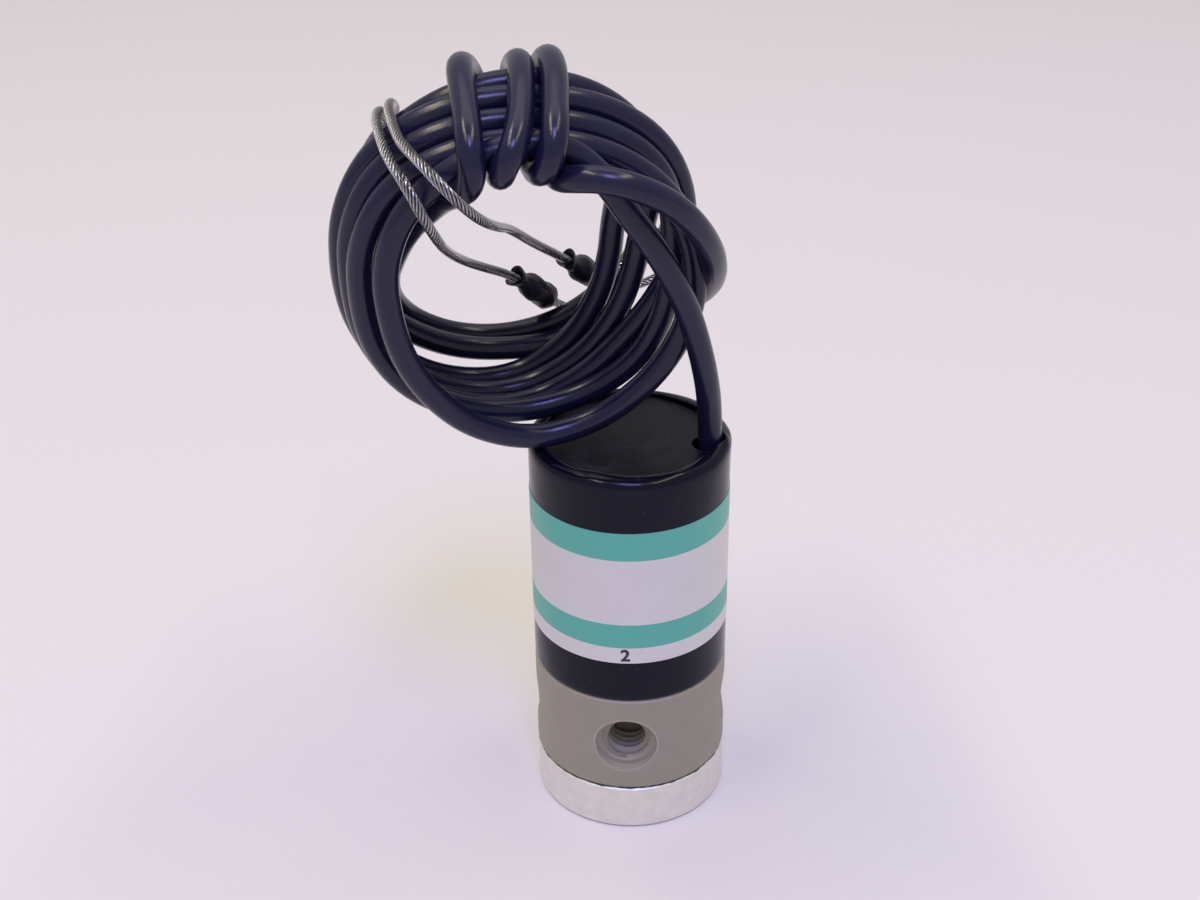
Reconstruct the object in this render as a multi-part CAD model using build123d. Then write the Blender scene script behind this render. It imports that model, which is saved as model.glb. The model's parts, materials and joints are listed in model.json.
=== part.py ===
from build123d import *
from math import cos, radians, sin, tan
import os

# A small three-way solenoid valve for a flow cell, with its lead wound in a tied coil.
# Millimetres. The origin is the centre of the base's underside, +Z runs up the valve's
# axis, and the common port looks along -Y.

# ---------------------------------------------------------------- driving dimensions
# Outside
BODY_D = 26.0                   # base plate and valve body
BASE_T = 6.8                    # base plate
BODY_T = 14.6                   # valve body
COIL_H = 27.6                   # solenoid case, pole plate to top plate
CAP_H = 5.0                     # end cap
EDGE = 0.3                      # broken edges of turned parts
FIT = 0.03                      # radial room between fixed parts that slip together
RUN = 0.08                      # radial room round what slides
TOUCH = 0.1                     # room between a moving piece and the diaphragm it pushes

# Ports: three M6 holes with flat spot faces, a quarter turn apart
PORT_UP = 7.3                   # port axes above the body's underside
PORT_R = 3.0                    # thread's major radius
PORT_DEPTH = 5.7                # hole, from its spot face to its flat floor
SPOT_DEPTH = 1.3                # spot face, below the body's round side
PORT_CHAMFER = 0.5
SPOT_R = 4.1                    # spot face radius
PORT_TURNS = (180, 270, 0)      # normally closed, common, normally open

# Fluid ways and seats
BORE_R = 1.5                    # vertical bore between the two seats
RIB_W = 0.75                    # ribs of the stem in it
DRILL_R = 0.7                   # drillings from ports to chambers
CHAMBER_R = 5.0
CHAMBER_DEPTH = 1.0             # below the diaphragm
SEAT_W = 0.8                    # width of a seat's ring
SEAT_H = 0.6                    # a seat stands this far off its chamber's floor
DRILL_END = 3.7                 # where a drilling meets a chamber floor, from the axis
STROKE = 0.7

# Diaphragms
SEAL_LAND = 1.1                 # body metal between a diaphragm's groove and the screws
DIAPHRAGM_T = 0.4
RIM_ROOM = 0.1                  # between diaphragm and its groove
PUSH_R = 2.5                    # thick middle of a diaphragm
PUSH_T = 0.2                    # lower diaphragm's middle, above its sheet
FLEX_R = 4.8                    # relief that a diaphragm bends into
FLEX_DEPTH = 0.8

# Screws that hold base, body and pole plate together, put in from below
SCREW_WALL = 0.52               # pole metal outside a screw
SCREW_COUNT = 4
SCREW_R = 1.25                  # M2.5
SCREW_HEAD_R = 2.25
SCREW_HEAD_H = 2.5
SCREW_SOCKET = 2.0              # across flats
SCREW_BEARING = 3.0             # base metal left above a head
SCREW_BITE = 2.4                # length in the pole plate
SCREW_ROOM = 0.15

# Tapped holes in the underside, by which the valve is mounted
MOUNT_SPACING = 17.0
MOUNT_R = 1.25                  # M3 tapping drill
MOUNT_DEPTH = 5.0

# Balance spring below the lower diaphragm
PAD_R = 2.4
PAD_T = 1.1
SPRING_WELL_R = 2.7
WELL_FLOOR = 1.5
BALANCE_COIL_R = 1.8            # to the wire's centre
BALANCE_WIRE = 0.4
BALANCE_TURNS = 3

# Solenoid
CASE_WALL = 1.2
POLE_T = 3.0
POLE_LEDGE = 0.4                # pole metal under the guide tube
POLE_NOSE_R = 3.2
TUBE_BORE_R = 4.08
TUBE_WALL = 0.27
CORE_L = 10.25                  # fixed core, without its stud
AIR_GAP = 0.05                  # left between plunger and core when it is drawn up
PLUNGER_NOSE_R = 2.4
PLUNGER_NOSE_H = 1.3
SPRING_HOLE_R = 2.35
SPRING_HOLE_DEPTH = 8.0         # in the plunger
CORE_HOLE_DEPTH = 3.0           # in the fixed core
RETURN_COIL_R = 1.85
RETURN_WIRE = 0.5
RETURN_TURNS = 6
TOP_T = 2.0                     # top plate
STUD_R = 2.5
STUD_ROOM = 0.4                 # between the stud and the cap
NUT_FLATS = 8.0
NUT_T = 2.2
NUT_ROOM = 0.18                 # between the nut's corners and the resin
BOBBIN_WALL = 0.8
BOBBIN_FLANGE = 1.0
BOBBIN_ROOM = 0.1               # between the bobbin and what it sits on
FLANGE_ROOM = 0.4               # between its flanges and the case
WINDING_DOWN = 1.0              # winding's surface below the flanges' edge
TAPE_T = 0.25

# End cap, potting and the hole for the lead
CAP_FACE_T = 2.2
CAP_WALL = 1.1
CAP_ROUND = 0.7
POTTING_ROOM = 0.3              # between the resin and the cap's face
LEAD_HOLE_R = 2.0
LEAD_HOLE_IN = 2.5              # hole's centre, in from the case's outside
LEAD_HOLE_Y = -1.5

# Shrink sleeve and label
SLEEVE_T = 0.5
SLEEVE_UP = 0.15                # sleeve's lower edge above the valve body
LIP_IN = 0.8                    # how far the lip lies over the cap's face
LIP_NOTCH_R = 1.9
LABEL_UP = 6.3                  # label above the valve body
LABEL_H = 19.7
LABEL_T = 0.06
LABEL_ARC = 300.0

# Lead: a round jacketed cable
ARC_SHARE = 0.45                # of a run that each of its two arcs may take
LEAD_D = 3.1
LEAD_OFF = 0.32                 # it stands this far outside the middle of its hole
CORE_D = 1.2                    # the two clear-sheathed cores at its far end
TIP_D = 0.9
TIP_L = 6.0

# Boots on the cores
BOOT_D = 3.5
BOOT_L = 7.0
BOOT_NECK_D = 2.2
BOOT_NECK_L = 2.6
BOOT_TAPER = 1.2                # length over which the body narrows at each end
BOOT_FLARE = 0.3                # how far its mouth opens
BOOT_ROOM = 0.05

# Coil of the lead. Places in it are (angle, radius, depth): the angle runs anticlockwise
# from the right-hand side as the common port sees it, and the depth runs away from there.
COIL_CENTRE = Vector(-10.4, -9.7, 77.0)
COIL_TURN = 15.7                # its near face looks this far to the right of -Y
COIL_LEAN = 15.0                # and this far down
# outline of the turns' centre lines at three depths: depth, centre across, centre up,
# half width, half height
COIL_STATIONS = (
    (0.0, 1.5, 0.3, 18.5, 21.3),
    (7.8, -2.8, -0.1, 18.3, 22.1),
    (15.5, -4.9, -0.3, 16.3, 21.3),
)
WRAP_ANGLES = (86.0, 96.5, 107.5)   # the three wraps that tie the coil at its top
WRAP_SLANTS = (11.0, 13.5, 10.0)
WRAP_RADII = (16.9, 25.6)       # inner and outer run of a wrap's centre line
WRAP_DEPTHS = (-2.6, 17.6)      # near and far run
WRAP_CORNER = 4.5

# ---------------------------------------------------------------- worked out
BODY_R = BODY_D / 2
BODY_TOP = BASE_T + BODY_T
COIL_TOP = BODY_TOP + COIL_H
CAP_TOP = COIL_TOP + CAP_H
SLEEVE_R = BODY_R
CASE_R = SLEEVE_R - SLEEVE_T
CASE_BORE = CASE_R - CASE_WALL
LEAD_R = LEAD_D / 2
PLATE_R = CASE_BORE - FIT
SCREW_PLACE = PLATE_R - SCREW_WALL - SCREW_R
SCREW_HEAD_TOP = BASE_T - SCREW_BEARING
PORT_Z = BASE_T + PORT_UP
PORT_FACE = BODY_R - SPOT_DEPTH
PORT_FLOOR = PORT_FACE - PORT_DEPTH
GROOVE_R = SCREW_PLACE - SCREW_R - SCREW_ROOM - SEAL_LAND
DIAPHRAGM_R = GROOVE_R - RIM_ROOM
UPPER_FLOOR = BODY_TOP - DIAPHRAGM_T - CHAMBER_DEPTH
UPPER_SEAT = UPPER_FLOOR + SEAT_H
LOWER_PUSH_TOP = BASE_T + DIAPHRAGM_T + PUSH_T
LOWER_SEAT = LOWER_PUSH_TOP + STROKE
LOWER_FLOOR = LOWER_SEAT + SEAT_H
POLE_TOP = BODY_TOP + POLE_T
TUBE_FOOT = BODY_TOP + FLEX_DEPTH + POLE_LEDGE
TUBE_R = TUBE_BORE_R + TUBE_WALL
TOP_FOOT = COIL_TOP - TOP_T
TUBE_TOP = TOP_FOOT
CORE_FOOT = TUBE_TOP - CORE_L
PLUNGER_R = TUBE_BORE_R - RUN
PLUNGER_FOOT = BODY_TOP + TOUCH
PLUNGER_SHOULDER = PLUNGER_FOOT + PLUNGER_NOSE_H
PLUNGER_TOP = CORE_FOOT - AIR_GAP - STROKE
BOBBIN_R = CASE_BORE - FLANGE_ROOM
WINDING_R = BOBBIN_R - WINDING_DOWN
CAP_FLOOR = CAP_TOP - CAP_FACE_T
STUD_TOP = CAP_FLOOR - STUD_ROOM
POTTING_TOP = CAP_FLOOR - POTTING_ROOM
LEAD_HOLE_X = CASE_R - LEAD_HOLE_IN
LEAD_X = LEAD_HOLE_X + LEAD_OFF
LEAD_Y = LEAD_HOLE_Y
LABEL_BOTTOM = BODY_TOP + LABEL_UP


def ring(outer, inner, bottom, top):
    """A plain tube about the valve's axis."""
    height = top - bottom
    tube = Cylinder(outer, height) - Cylinder(inner, 2 * height)
    return Pos(0, 0, bottom + height / 2) * tube


def disc(radius, bottom, top):
    """A plain round slug about the valve's axis."""
    height = top - bottom
    return Pos(0, 0, bottom + height / 2) * Cylinder(radius, height)


def drilling(start, end, radius):
    """A round hole's tool from one point to another."""
    line = Line(start, end)
    return sweep(Plane(origin=start, z_dir=line % 0) * Circle(radius), path=line)


def screw_places():
    """The screws' axes, between the ports."""
    return PolarLocations(SCREW_PLACE, SCREW_COUNT, start_angle=45)


def round_edges(solid, height, size):
    """Chamfer the outermost round edge that lies at a height."""
    edges = solid.edges().filter_by(GeomType.CIRCLE)
    at_height = edges.filter_by_position(Axis.Z, height - 0.01, height + 0.01)
    return chamfer(at_height.sort_by(SortBy.RADIUS)[-1], size)


# ---------------------------------------------------------------- base and body
def base_plate():
    """Aluminium foot: screw counterbores, mounting holes and the balance spring's well."""
    plate = disc(BODY_R, 0, BASE_T)
    plate = round_edges(plate, 0, EDGE)
    plate = round_edges(plate, BASE_T, EDGE)
    plate -= disc(SPRING_WELL_R, WELL_FLOOR, BASE_T)
    plate -= disc(FLEX_R, BASE_T - FLEX_DEPTH, BASE_T)
    for place in screw_places():
        plate -= place * disc(SCREW_HEAD_R + SCREW_ROOM, 0, SCREW_HEAD_TOP)
        plate -= place * disc(SCREW_R + SCREW_ROOM, 0, BASE_T)
    for side in (-1, 1):
        plate -= Pos(side * MOUNT_SPACING / 2, 0, 0) * disc(MOUNT_R, 0, MOUNT_DEPTH)
    return plate


def body_screws():
    """Socket screws from the base up into the pole plate, all alike."""
    head = disc(SCREW_HEAD_R, SCREW_HEAD_TOP - SCREW_HEAD_H, SCREW_HEAD_TOP)
    socket = extrude(RegularPolygon(SCREW_SOCKET / 2, 6, major_radius=False), SCREW_HEAD_H / 2)
    head -= Pos(0, 0, SCREW_HEAD_TOP - SCREW_HEAD_H) * socket
    shank = disc(SCREW_R, SCREW_HEAD_TOP, BODY_TOP + SCREW_BITE)
    screw = head + shank
    return Compound([place * screw for place in screw_places()])


def port_tool():
    """What one port takes out of the body, along +X."""
    depth = BODY_R - PORT_FACE + EDGE
    spot = Cylinder(SPOT_R, depth)
    bore = Cylinder(PORT_R, PORT_FACE - PORT_FLOOR)
    mouth = Cone(PORT_R, PORT_R + PORT_CHAMFER, PORT_CHAMFER)
    tool = Pos(0, 0, PORT_FACE + depth / 2) * spot
    tool += Pos(0, 0, (PORT_FACE + PORT_FLOOR) / 2) * bore
    tool += Pos(0, 0, PORT_FACE - PORT_CHAMFER / 2) * mouth
    return Pos(0, 0, PORT_Z) * Rot(0, 90, 0) * tool


def valve_body():
    """Polymer body: three ports, two chambers with raised seats and the ways between them."""
    body = disc(BODY_R, BASE_T, BODY_TOP)
    body = round_edges(body, BASE_T, EDGE)
    body = round_edges(body, BODY_TOP, EDGE)
    for turn in PORT_TURNS:
        body -= Rot(0, 0, turn) * port_tool()
    body -= disc(GROOVE_R, BODY_TOP - DIAPHRAGM_T, BODY_TOP)
    body -= disc(GROOVE_R, BASE_T, BASE_T + DIAPHRAGM_T)
    body -= disc(CHAMBER_R, UPPER_FLOOR, BODY_TOP)
    body -= disc(CHAMBER_R, BASE_T, LOWER_FLOOR)
    body += disc(BORE_R + SEAT_W, UPPER_FLOOR, UPPER_SEAT)
    body += disc(BORE_R + SEAT_W, LOWER_SEAT, LOWER_FLOOR)
    body -= disc(BORE_R, LOWER_SEAT, UPPER_SEAT)
    common = (0, -PORT_FLOOR, PORT_Z)
    body -= drilling(common, (0, 0, PORT_Z), DRILL_R)
    closed_floor = (-PORT_FLOOR - DRILL_R, 0, PORT_Z)
    body -= drilling(closed_floor, (-DRILL_END, 0, UPPER_FLOOR + SEAT_H / 2), DRILL_R)
    open_floor = (PORT_FLOOR + DRILL_R, 0, PORT_Z)
    body -= drilling(open_floor, (DRILL_END, 0, LOWER_FLOOR - SEAT_H / 2), DRILL_R)
    for place in screw_places():
        body -= place * disc(SCREW_R + SCREW_ROOM, BASE_T, BODY_TOP)
    return body


def upper_diaphragm():
    """Seal on the upper seat: closed at rest."""
    seal = disc(DIAPHRAGM_R, BODY_TOP - DIAPHRAGM_T, BODY_TOP)
    return seal + disc(PUSH_R, UPPER_SEAT, BODY_TOP - DIAPHRAGM_T)


def lower_diaphragm():
    """Seal under the lower seat: a stroke away from it at rest."""
    seal = disc(DIAPHRAGM_R, BASE_T, BASE_T + DIAPHRAGM_T)
    return seal + disc(PUSH_R, BASE_T + DIAPHRAGM_T, LOWER_PUSH_TOP)


def valve_stem():
    """Fluted pin between the diaphragms: fluid passes between its four ribs."""
    bottom = LOWER_PUSH_TOP + TOUCH
    top = UPPER_SEAT - TOUCH
    reach = 2 * (BORE_R - RUN)
    height = top - bottom
    ribs = Box(reach, RIB_W, height) + Box(RIB_W, reach, height)
    ribs &= Cylinder(BORE_R - RUN, height)
    return Pos(0, 0, (bottom + top) / 2) * ribs


# ---------------------------------------------------------------- springs
def spring(coil_radius, wire, turns, bottom, top):
    """An open helical spring between two heights."""
    height = top - bottom - wire
    helix = Pos(0, 0, bottom + wire / 2) * Helix(height / turns, height, coil_radius)
    section = Plane(origin=helix @ 0, z_dir=helix % 0) * Circle(wire / 2)
    return sweep(section, path=helix, is_frenet=True)


def spring_pad():
    """Button between the balance spring and the lower diaphragm."""
    return disc(PAD_R, BASE_T - TOUCH - PAD_T, BASE_T - TOUCH)


def balance_spring():
    """Lifts the lower diaphragm when the plunger lets it."""
    top = BASE_T - TOUCH - PAD_T - FIT
    return spring(BALANCE_COIL_R, BALANCE_WIRE, BALANCE_TURNS, WELL_FLOOR + FIT, top)


def plunger_spring():
    """Return spring, from the plunger's hole up into the fixed core."""
    bottom = PLUNGER_TOP - SPRING_HOLE_DEPTH + FIT
    top = CORE_FOOT + CORE_HOLE_DEPTH - FIT
    return spring(RETURN_COIL_R, RETURN_WIRE, RETURN_TURNS, bottom, top)


# ---------------------------------------------------------------- solenoid
def pole_plate():
    """Steel plate under the coil: carries the guide tube and takes the body screws."""
    plate = disc(PLATE_R, BODY_TOP, POLE_TOP)
    plate -= disc(FLEX_R, BODY_TOP, BODY_TOP + FLEX_DEPTH)
    plate -= disc(POLE_NOSE_R, BODY_TOP, POLE_TOP)
    plate -= disc(TUBE_R + FIT, TUBE_FOOT, POLE_TOP)
    for place in screw_places():
        plate -= place * disc(SCREW_R + FIT, BODY_TOP, POLE_TOP)
    return plate


def guide_tube():
    """Thin tube that the plunger slides in."""
    return ring(TUBE_R, TUBE_BORE_R, TUBE_FOOT, TUBE_TOP)


def plunger():
    """Moving core with a nose that presses on the upper diaphragm."""
    core = disc(PLUNGER_R, PLUNGER_SHOULDER, PLUNGER_TOP)
    core += disc(PLUNGER_NOSE_R, PLUNGER_FOOT, PLUNGER_SHOULDER)
    return core - disc(SPRING_HOLE_R, PLUNGER_TOP - SPRING_HOLE_DEPTH, PLUNGER_TOP)


def fixed_core():
    """Stop at the top of the guide tube, with the stud that holds the case."""
    core = disc(TUBE_BORE_R - FIT, CORE_FOOT, TUBE_TOP)
    core -= disc(SPRING_HOLE_R, CORE_FOOT, CORE_FOOT + CORE_HOLE_DEPTH)
    return core + disc(STUD_R, TUBE_TOP, STUD_TOP)


def top_plate():
    """Steel plate over the coil."""
    return ring(PLATE_R, STUD_R + FIT, TOP_FOOT, COIL_TOP)


def core_nut():
    """Thin nut on the core's stud."""
    nut = extrude(RegularPolygon(NUT_FLATS / 2, 6, major_radius=False), NUT_T)
    return Pos(0, 0, COIL_TOP) * nut - disc(STUD_R + FIT, COIL_TOP, COIL_TOP + NUT_T)


def bobbin():
    """Spool for the winding."""
    bottom = POLE_TOP + BOBBIN_ROOM
    top = TOP_FOOT - BOBBIN_ROOM
    hub = TUBE_R + BOBBIN_ROOM
    spool = ring(hub + BOBBIN_WALL, hub, bottom, top)
    spool += ring(BOBBIN_R, hub, bottom, bottom + BOBBIN_FLANGE)
    return spool + ring(BOBBIN_R, hub, top - BOBBIN_FLANGE, top)


def between_flanges(outer, inner):
    """What lies between the bobbin's flanges."""
    bottom = POLE_TOP + BOBBIN_ROOM + BOBBIN_FLANGE
    top = TOP_FOOT - BOBBIN_ROOM - BOBBIN_FLANGE
    return ring(outer, inner, bottom + FIT, top - FIT)


def winding():
    """Copper winding as one annulus."""
    return between_flanges(WINDING_R, TUBE_R + BOBBIN_ROOM + BOBBIN_WALL + FIT)


def winding_tape():
    """Tape round the winding."""
    return between_flanges(WINDING_R + FIT + TAPE_T, WINDING_R + FIT)


def coil_case():
    """Steel tube that closes the magnetic path."""
    return ring(CASE_R, CASE_BORE, BODY_TOP, COIL_TOP)


# ---------------------------------------------------------------- cap, sleeve and label
def end_cap():
    """Turned black cap: a cup over the nut, with a hole for the lead near its rim."""
    cap = disc(CASE_R, COIL_TOP, CAP_TOP)
    rim = cap.edges().filter_by(GeomType.CIRCLE).sort_by(Axis.Z)[-1]
    cap = fillet(rim, CAP_ROUND)
    cap -= disc(CASE_R - CAP_WALL, COIL_TOP, CAP_FLOOR)
    return cap - Pos(LEAD_HOLE_X, LEAD_HOLE_Y, 0) * disc(LEAD_HOLE_R, COIL_TOP, CAP_TOP)


def cap_potting():
    """Resin in the cap that anchors the lead, cast round the nut and stud."""
    clear = NUT_FLATS / 2 / cos(radians(30)) + NUT_ROOM
    return ring(CASE_R - CAP_WALL - FIT, clear, COIL_TOP, POTTING_TOP)


def shrink_sleeve():
    """Glossy sleeve shrunk over case and cap, its top edge rolled over the cap's rim."""
    foot = BODY_TOP + SLEEVE_UP
    turn_in = CASE_R - CAP_ROUND
    lip = turn_in - LIP_IN
    top = CAP_TOP + SLEEVE_T
    bend = CAP_ROUND + SLEEVE_T
    diagonal = sin(radians(45))
    middle_out = (turn_in + bend * diagonal, CAP_TOP - CAP_ROUND + bend * diagonal)
    middle_in = (turn_in + CAP_ROUND * diagonal, CAP_TOP - CAP_ROUND + CAP_ROUND * diagonal)
    outline = [
        Line((CASE_R, foot), (SLEEVE_R - SLEEVE_T / 2, foot)),
        Line((SLEEVE_R - SLEEVE_T / 2, foot), (SLEEVE_R, foot + SLEEVE_T)),
        Line((SLEEVE_R, foot + SLEEVE_T), (SLEEVE_R, CAP_TOP - CAP_ROUND)),
        ThreePointArc((SLEEVE_R, CAP_TOP - CAP_ROUND), middle_out, (turn_in, top)),
        Line((turn_in, top), (lip + SLEEVE_T / 2, top)),
        ThreePointArc((lip + SLEEVE_T / 2, top), (lip, top - SLEEVE_T / 2), (lip + SLEEVE_T / 2, CAP_TOP)),
        Line((lip + SLEEVE_T / 2, CAP_TOP), (turn_in, CAP_TOP)),
        ThreePointArc((turn_in, CAP_TOP), middle_in, (CASE_R, CAP_TOP - CAP_ROUND)),
        Line((CASE_R, CAP_TOP - CAP_ROUND), (CASE_R, foot)),
    ]
    sleeve = revolve(Plane.XZ * make_face(outline), Axis.Z)
    notch = disc(LIP_NOTCH_R, CAP_TOP - CAP_ROUND, top + SLEEVE_T)
    return sleeve - Pos(LEAD_X, LEAD_Y, 0) * notch


def label():
    """Paper label round the front of the sleeve, open at the back."""
    wrap = ring(SLEEVE_R + LABEL_T, SLEEVE_R, LABEL_BOTTOM, LABEL_BOTTOM + LABEL_H)
    gap = 360 - LABEL_ARC
    reach = 2 * SLEEVE_R
    half = reach * tan(radians(gap / 2))
    wedge = Polygon((0, 0), (reach, -half), (reach, half), align=None)
    opening = Pos(0, 0, LABEL_BOTTOM) * extrude(wedge, LABEL_H)
    return wrap - Rot(0, 0, 90) * opening


# ---------------------------------------------------------------- lead
def coil_directions():
    """Unit vectors of the coil: to its right, up it and away into it."""
    turn = radians(COIL_TURN)
    lean = radians(COIL_LEAN)
    right = Vector(cos(turn), sin(turn), 0)
    near = Vector(sin(turn) * cos(lean), -cos(turn) * cos(lean), -sin(lean))
    return right, near.cross(right), near * -1


def coil_point(angle, radius, depth):
    """A place given in the coil's own terms."""
    right, up, away = coil_directions()
    across = right * (radius * cos(radians(angle)))
    rise = up * (radius * sin(radians(angle)))
    return COIL_CENTRE + across + rise + away * depth


def tube(name, points, diameter):
    """Straight runs joined by tangent arcs, each arc as large as its runs allow."""
    points = [Vector(*point) for point in points]
    runs = [after - before for before, after in zip(points, points[1:])]
    radii = []
    for before, after in zip(runs, runs[1:]):
        shorter = min(before.length, after.length)
        radii.append(ARC_SHARE * shorter / tan(radians(before.get_angle(after) / 2)))
    path = FilletPolyline(*points, radius=radii)
    solid = sweep(Plane(origin=path @ 0, z_dir=path % 0) * Circle(diameter / 2), path=path)
    expected = Circle(diameter / 2).area * path.length
    print(name, "length", round(path.length, 1), "volume / expected",
          round(solid.volume / expected, 4), "radii", [round(radius, 1) for radius in radii])
    return solid


RISER_POINTS = (
    (LEAD_X, LEAD_Y, POTTING_TOP),
    (LEAD_X, LEAD_Y, POTTING_TOP + 6.5),
    coil_point(-28.0, 23.4, -3.7),
    coil_point(-7.3, 18.4, -3.7),
    coil_point(13.0, 16.2, -3.7),
    coil_point(36.0, 15.9, -3.6),
    coil_point(57.0, 17.0, -3.4),
    coil_point(71.0, 18.5, -2.6),
)

LOOP_POINTS = (
    coil_point(-66.0, 21.0, 14.8),
    coil_point(-47.0, 22.4, 14.2),
    coil_point(-28.0, 23.6, 11.4),
    coil_point(-10.0, 24.0, 6.6),
    coil_point(11.0, 23.6, 0.8),
    coil_point(32.0, 23.2, -3.6),
    coil_point(51.0, 22.4, -5.8),
    coil_point(66.0, 22.0, -6.4),
    coil_point(76.5, 21.5, -5.4),
)

TAIL_POINTS = (
    coil_point(118.0, 16.2, 3.0),
    coil_point(132.0, 15.8, 5.0),
    coil_point(148.0, 16.0, 7.2),
    coil_point(166.0, 16.8, 9.0),
    coil_point(184.0, 17.3, 11.0),
    coil_point(201.0, 17.8, 14.0),
    coil_point(217.0, 18.6, 17.2),
    coil_point(234.0, 19.4, 19.2),
    coil_point(252.0, 19.9, 19.5),
    coil_point(271.0, 20.4, 19.3),
    coil_point(290.0, 20.5, 19.1),
    coil_point(307.0, 20.1, 19.2),
    coil_point(320.0, 19.7, 19.4),
)

# the cores from the jacket's end to their boots, through them, and on to the tinned tips
CORE_A_FRONT = (
    coil_point(320.8, 19.1, 19.7),
    coil_point(331.0, 19.2, 20.8),
    coil_point(340.0, 20.6, 23.2),
    coil_point(343.0, 23.2, 26.2),
    coil_point(337.0, 26.0, 28.4),
    coil_point(325.0, 27.6, 29.2),
    coil_point(311.0, 27.8, 28.6),
    coil_point(299.0, 26.8, 26.6),
)
CORE_B_FRONT = (
    coil_point(320.8, 20.5, 19.4),
    coil_point(331.0, 21.6, 19.6),
    coil_point(337.0, 24.2, 20.8),
    coil_point(334.0, 27.2, 22.4),
    coil_point(325.0, 28.8, 24.0),
    coil_point(314.0, 28.2, 25.6),
)
BOOT_A_REAR = coil_point(293.0, 24.2, 24.0)
BOOT_A_MOUTH = coil_point(275.7, 11.0, 18.8)
BOOT_B_REAR = coil_point(308.0, 25.4, 25.6)
BOOT_B_MOUTH = coil_point(308.6, 12.7, 20.0)

CORE_A_BACK = (
    coil_point(218.1, 6.0, 12.5),
    coil_point(174.3, 7.5, 8.4),
    coil_point(147.8, 11.6, 3.2),
    coil_point(134.4, 16.4, -2.0),
    coil_point(128.6, 21.2, -4.0),
    coil_point(126.6, 25.4, -2.2),
    coil_point(127.9, 26.2, 2.6),
    coil_point(129.8, 26.0, 7.6),
    coil_point(131.4, 25.8, 12.8),
    coil_point(133.2, 24.6, 17.6),
    coil_point(139.6, 22.2, 20.6),
    coil_point(152.0, 20.4, 21.0),
    coil_point(168.0, 19.9, 20.8),
    coil_point(186.0, 20.3, 20.8),
    coil_point(204.0, 21.0, 21.6),
    coil_point(222.0, 21.8, 22.4),
    coil_point(240.0, 22.6, 22.8),
)
CORE_B_BACK = (
    coil_point(321.0, 2.8, 13.6),
    coil_point(109.1, 5.4, 8.0),
    coil_point(113.2, 13.0, -0.4),
    coil_point(115.0, 19.0, -5.2),
    coil_point(117.6, 24.0, -6.2),
    coil_point(121.2, 26.0, -1.8),
    coil_point(124.2, 25.8, 3.4),
    coil_point(126.6, 25.6, 8.4),
    coil_point(128.4, 25.2, 13.4),
    coil_point(130.4, 24.4, 18.4),
    coil_point(136.4, 22.6, 22.4),
    coil_point(148.0, 20.8, 23.4),
    coil_point(164.0, 20.2, 23.0),
    coil_point(181.0, 20.5, 23.0),
    coil_point(198.0, 21.2, 23.6),
)


def oval(depth, across, up, half_width, half_height):
    """One outline of the coil in a plane at a depth."""
    right, _, away = coil_directions()
    centre = coil_point(0, across, depth) + coil_directions()[1] * up
    return Plane(origin=centre, x_dir=right, z_dir=away) * Ellipse(half_width, half_height)


def coil_hull(growth, reach):
    """Loft through the coil's outlines, grown by one amount and lengthened by another."""
    outlines = []
    last = len(COIL_STATIONS) - 1
    for index, (depth, across, up, half_width, half_height) in enumerate(COIL_STATIONS):
        if index == 0:
            depth -= reach
        if index == last:
            depth += reach
        outlines.append(oval(depth, across, up, half_width + growth, half_height + growth))
    return loft(outlines)


def wrap_band(angle, slant):
    """One of the turns round the bundle, as a rounded slab across the ring."""
    right, up, away = coil_directions()
    outward = right * cos(radians(angle)) + up * sin(radians(angle))
    along = away.cross(outward)
    lean = radians(slant)
    axial = away * cos(lean) + along * sin(lean)
    middle = coil_point(angle, sum(WRAP_RADII) / 2, sum(WRAP_DEPTHS) / 2)
    width = WRAP_DEPTHS[1] - WRAP_DEPTHS[0] + LEAD_D
    height = WRAP_RADII[1] - WRAP_RADII[0] + LEAD_D
    outline = RectangleRounded(width, height, WRAP_CORNER)
    plane = Plane(origin=middle, x_dir=axial, z_dir=axial.cross(outward))
    return extrude(plane * outline, LEAD_R, both=True)


def lead_coil():
    """Outer form of the wound lead: the ring of turns and the wraps that tie it."""
    coil = coil_hull(LEAD_R, LEAD_R) - coil_hull(-LEAD_R, 2 * LEAD_R)
    for angle, slant in zip(WRAP_ANGLES, WRAP_SLANTS):
        coil += wrap_band(angle, slant)
    return coil


def boot(rear, mouth):
    """Shrunk boot on a core: a full body, a neck and a slightly flared mouth."""
    axis = (mouth - rear).normalized()
    start = mouth - axis * (BOOT_L + BOOT_NECK_L)
    hole = CORE_D / 2 + BOOT_ROOM
    full = BOOT_D / 2
    neck = BOOT_NECK_D / 2
    end = BOOT_L + BOOT_NECK_L
    outline = Polyline(
        (hole, 0), (neck, 0), (full, BOOT_TAPER), (full, BOOT_L - BOOT_TAPER),
        (neck, BOOT_L + BOOT_FLARE), (neck + BOOT_FLARE, end), (hole, end), close=True)
    plane = Plane(origin=start, z_dir=axis)
    shape = revolve(Plane.XZ * make_face(outline), Axis.Z)
    return plane.location * shape


def tip(points):
    """Tinned end beyond a core's sheath."""
    before = points[-2]
    end = points[-1]
    axis = (end - before).normalized()
    line = Line(end, end + axis * TIP_L)
    return sweep(Plane(origin=end, z_dir=axis) * Circle(TIP_D / 2), path=line)


CORE_A_POINTS = CORE_A_FRONT + (BOOT_A_REAR, BOOT_A_MOUTH) + CORE_A_BACK
CORE_B_POINTS = CORE_B_FRONT + (BOOT_B_REAR, BOOT_B_MOUTH) + CORE_B_BACK

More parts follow.
